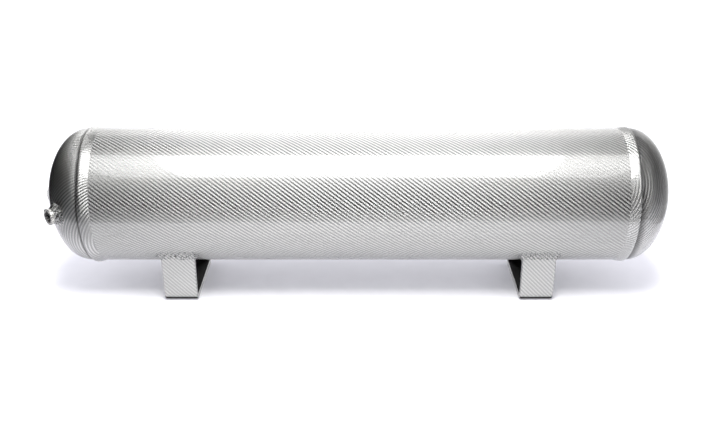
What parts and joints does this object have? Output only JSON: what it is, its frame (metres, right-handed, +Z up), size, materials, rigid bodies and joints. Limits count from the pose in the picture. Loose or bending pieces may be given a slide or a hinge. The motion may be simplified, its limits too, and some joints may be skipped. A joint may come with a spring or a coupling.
{
  "type": "air receiver tank",
  "caption": "Horizontal compressed-air receiver tank: welded cylinder with domed heads, threaded ports in one head and two bent-bar feet under the belly.",
  "frame": {"origin": "centre of the four foot bolt holes, on the plane that the feet stand on", "axes": "+X along the tank, away from the head with the ports; +Y from the front to the rear; +Z up"},
  "size_m": [0.7134, 0.157, 0.1905],
  "materials": {
    "shell": "silver and black twill-weave film under gloss clear coat, on aluminium",
    "weld": "aluminium weld bead under the same film and clear coat",
    "foot": "silver and black twill-weave film under gloss clear coat, on aluminium bar",
    "port": "turned aluminium, bare in the bore, clear-coated outside"
  },
  "bodies": {
    "root": {"shell_tube": "shell", "left_head": "shell", "right_head": "shell", "left_girth_weld": "weld", "right_girth_weld": "weld", "centre_port_bung": "port", "centre_port_weld": "weld", "front_port_bung": "port", "front_port_weld": "weld", "rear_port_bung": "port", "rear_port_weld": "weld", "left_foot": "foot", "left_foot_front_weld": "weld", "left_foot_rear_weld": "weld", "right_foot": "foot", "right_foot_front_weld": "weld", "right_foot_rear_weld": "weld"}
  },
  "joints": []
}
